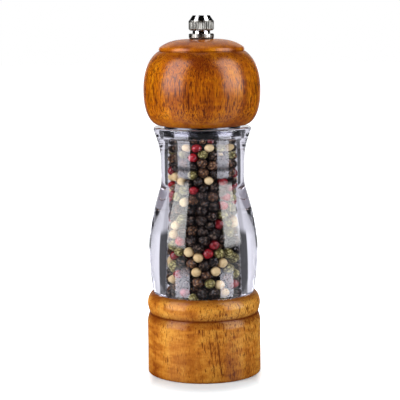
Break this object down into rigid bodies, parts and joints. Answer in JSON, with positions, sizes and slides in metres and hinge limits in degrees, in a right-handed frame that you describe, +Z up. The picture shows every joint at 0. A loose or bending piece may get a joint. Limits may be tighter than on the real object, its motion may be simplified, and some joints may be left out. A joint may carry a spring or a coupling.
{
  "type": "pepper mill",
  "caption": "Pepper mill with a turned wooden head and base, a thick clear waisted body full of mixed peppercorns, a ceramic grinding set and a knurled steel nut.",
  "frame": {"origin": "centre of the base's foot, on the surface that it stands on", "axes": "+Z up along the mill's turning axis; the mill is round, and +X points along the bridge's arm inside the base"},
  "size_m": [0.0535, 0.0534, 0.165],
  "materials": {
    "head_wood": "warm red-brown lacquer over vertical grain with fine dark pores",
    "base_wood": "lighter orange-brown lacquer over vertical grain with fine dark pores",
    "clear_acrylic": "thick water-clear polished acrylic",
    "stainless": "polished stainless steel",
    "zinc_steel": "plain zinc-plated steel",
    "shaft_metal": "drawn bar, satin",
    "plate_metal": "stamped, satin",
    "black_fibre": "dull black fibre",
    "black_plastic": "moulded black plastic, slight sheen",
    "nylon": "natural white nylon",
    "ceramic_white": "fired white ceramic, satin",
    "spring_steel": "drawn spring wire",
    "black_pepper": "wrinkled dry dark-brown husk",
    "brown_pepper": "wrinkled dry brown husk",
    "white_pepper": "smooth dry cream seed",
    "green_pepper": "wrinkled dry olive-green husk",
    "pink_pepper": "thin brittle rose-red husk"
  },
  "bodies": {
    "mill_body": {"clear_body": "clear_acrylic", "base": "base_wood", "stator_housing": "black_plastic", "housing_screws": "zinc_steel", "grinding_ring": "ceramic_white", "bridge": "zinc_steel", "bridge_screws": "zinc_steel", "black_peppercorns": "black_pepper", "brown_peppercorns": "brown_pepper", "white_peppercorns": "white_pepper", "green_peppercorns": "green_pepper", "pink_peppercorns": "pink_pepper"},
    "shaft_bush": {"shaft_bush": "nylon", "grind_spring": "spring_steel"},
    "rotor": {"drive_shaft": "shaft_metal", "cone_core": "black_plastic", "grinding_cone": "ceramic_white", "lock_washer": "zinc_steel", "shaft_lock_nut": "zinc_steel"},
    "head": {"head": "head_wood", "driver_plate": "plate_metal", "driver_plate_screws": "zinc_steel"},
    "nut_washer": {"nut_washer": "black_fibre"},
    "finial_nut": {"finial_nut": "stainless"}
  },
  "joints": [
    {"name": "head_turn", "type": "hinge", "parent": "mill_body", "child": "shaft_bush", "pos_m": [0, 0, 0.0299], "axis": [0, 0, 1], "continuous": true},
    {"name": "grind_adjust", "type": "slide", "parent": "shaft_bush", "child": "rotor", "axis": [0, 0, 1], "range_m": [0, 0.0015], "deforming": ["grind_spring"]},
    {"name": "head_lift", "type": "slide", "parent": "shaft_bush", "child": "head", "axis": [0, 0, 1], "range_m": [0, 0.06]},
    {"name": "nut_lift", "type": "slide", "parent": "head", "child": "nut_washer", "axis": [0, 0, 1], "range_m": [0, 0.02]},
    {"name": "nut_turn", "type": "hinge", "parent": "nut_washer", "child": "finial_nut", "pos_m": [0, 0, 0.16], "axis": [0, 0, 1], "range_deg": [-675, 0]}
  ],
  "couplings": [
    {"joint": "nut_turn", "follows": "grind_adjust", "rad_per_m": -7854}
  ]
}
